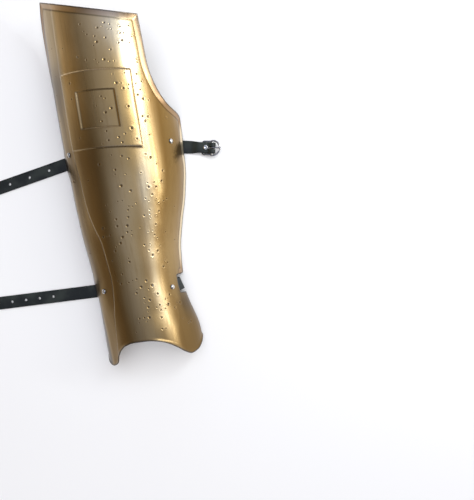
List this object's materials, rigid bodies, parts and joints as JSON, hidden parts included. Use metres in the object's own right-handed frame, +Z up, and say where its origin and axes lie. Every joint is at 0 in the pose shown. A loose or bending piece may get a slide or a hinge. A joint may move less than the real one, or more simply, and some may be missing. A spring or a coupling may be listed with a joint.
{
  "type": "greave",
  "caption": "Shin plate of formed sheet with a raised panel, flared ankle lobes and turned lips, with riveted leather straps and buckles, laid face up.",
  "frame": {"origin": "centre of the whole part's box, on the surface that it lies on", "axes": "+Y along the shin towards the knee, +Z up out of the raised face, +X towards the buckle side"},
  "size_m": [0.346, 0.4196, 0.068],
  "materials": {
    "antique_brass": "antiqued and polished lengthwise, lightly pitted",
    "black_leather": "black, satin",
    "nickel": "nickel plated, polished"
  },
  "bodies": {
    "greave": {"shin_plate": "antique_brass", "calf_tongue_strap": "black_leather", "ankle_tongue_strap": "black_leather", "calf_buckle_strap": "black_leather", "ankle_buckle_strap": "black_leather", "calf_tongue_rivet": "nickel", "ankle_tongue_rivet": "nickel", "calf_buckle_rivet": "nickel", "ankle_buckle_rivet": "nickel", "calf_chape_rivet": "nickel", "ankle_chape_rivet": "nickel"},
    "calf_buckle": {"calf_buckle_frame": "nickel"},
    "calf_prong": {"calf_buckle_prong": "nickel"},
    "ankle_buckle": {"ankle_buckle_frame": "nickel"},
    "ankle_prong": {"ankle_buckle_prong": "nickel"}
  },
  "joints": [
    {"name": "calf_frame_tilt", "type": "hinge", "parent": "greave", "child": "calf_buckle", "pos_m": [0.16238, 0.01907, 0.00441], "axis": [-0.2317, -0.9728, 0], "range_deg": [0, 45]},
    {"name": "calf_prong_lift", "type": "hinge", "parent": "calf_buckle", "child": "calf_prong", "pos_m": [0.16238, 0.01907, 0.00441], "axis": [-0.2317, -0.9728, 0], "range_deg": [0, 60]},
    {"name": "ankle_frame_tilt", "type": "hinge", "parent": "greave", "child": "ankle_buckle", "pos_m": [0.05443, -0.14284, 0.00622], "axis": [0.2588, -0.9659, 0], "range_deg": [0, 45]},
    {"name": "ankle_prong_lift", "type": "hinge", "parent": "ankle_buckle", "child": "ankle_prong", "pos_m": [0.05443, -0.14284, 0.00622], "axis": [0.2588, -0.9659, 0], "range_deg": [0, 60]}
  ]
}
